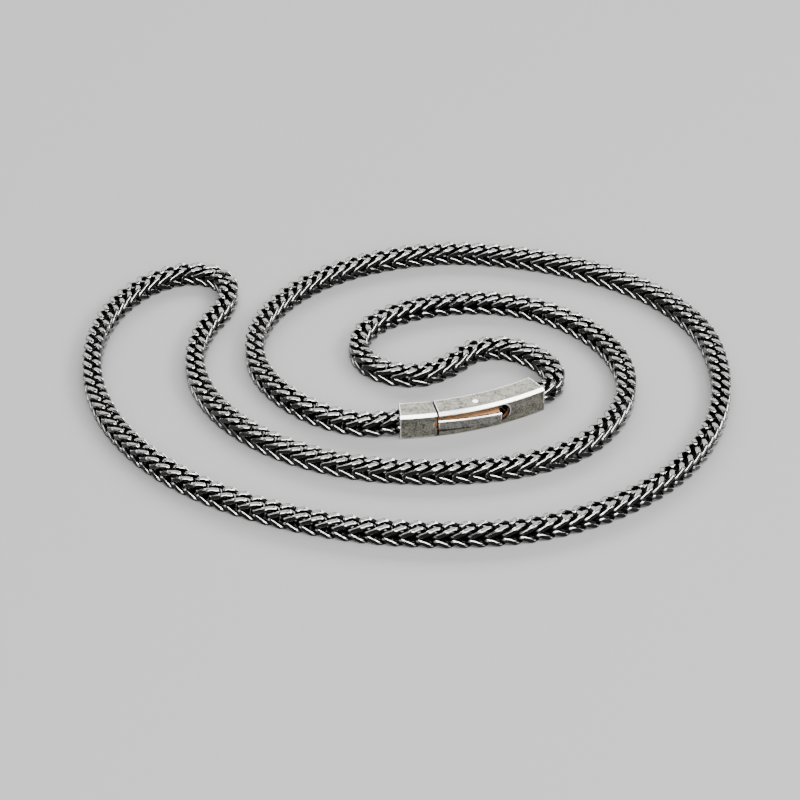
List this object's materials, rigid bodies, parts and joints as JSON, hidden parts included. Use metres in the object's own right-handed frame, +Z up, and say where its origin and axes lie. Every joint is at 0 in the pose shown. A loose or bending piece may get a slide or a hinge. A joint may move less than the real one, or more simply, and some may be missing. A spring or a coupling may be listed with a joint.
{
  "type": "franco link chain necklace with a curved box clasp",
  "caption": "Square-section franco link chain necklace lying in a loose spiral, closed by a curved two-piece box clasp with a side press lever.",
  "frame": {"origin": "centre of the lying necklace's outline, on the surface that it rests on", "axes": "+Z up from the surface, +X along the spiral's long side, -Y towards the side that the clasp's lever faces"},
  "size_m": [0.103, 0.085, 0.0042],
  "materials": {
    "chain_steel": "bright worn links over near black oxidised recesses",
    "clasp_steel": "matt stonewashed grey with bright worn edges",
    "plate_steel": "matt stonewashed grey, a little darker",
    "bright_steel": "bright satin",
    "rose_gold": "satin rose gold with fine lengthwise lines"
  },
  "bodies": {
    "necklace": {"chain_outer": "chain_steel", "chain_inner": "chain_steel", "end_cap": "clasp_steel", "tongue": "rose_gold", "clasp_box": "clasp_steel", "sleeve": "rose_gold", "lever_pin": "bright_steel"},
    "clasp_lever": {"lever": "rose_gold", "lever_plate": "plate_steel"}
  },
  "joints": [
    {"name": "lever_press", "type": "hinge", "parent": "necklace", "child": "clasp_lever", "pos_m": [0.0109, -0.00921, 0.0016], "axis": [0, 0, 1], "range_deg": [0, 10], "stiffness_Nm_per_rad": 0.002, "springref_deg": -11.46}
  ]
}
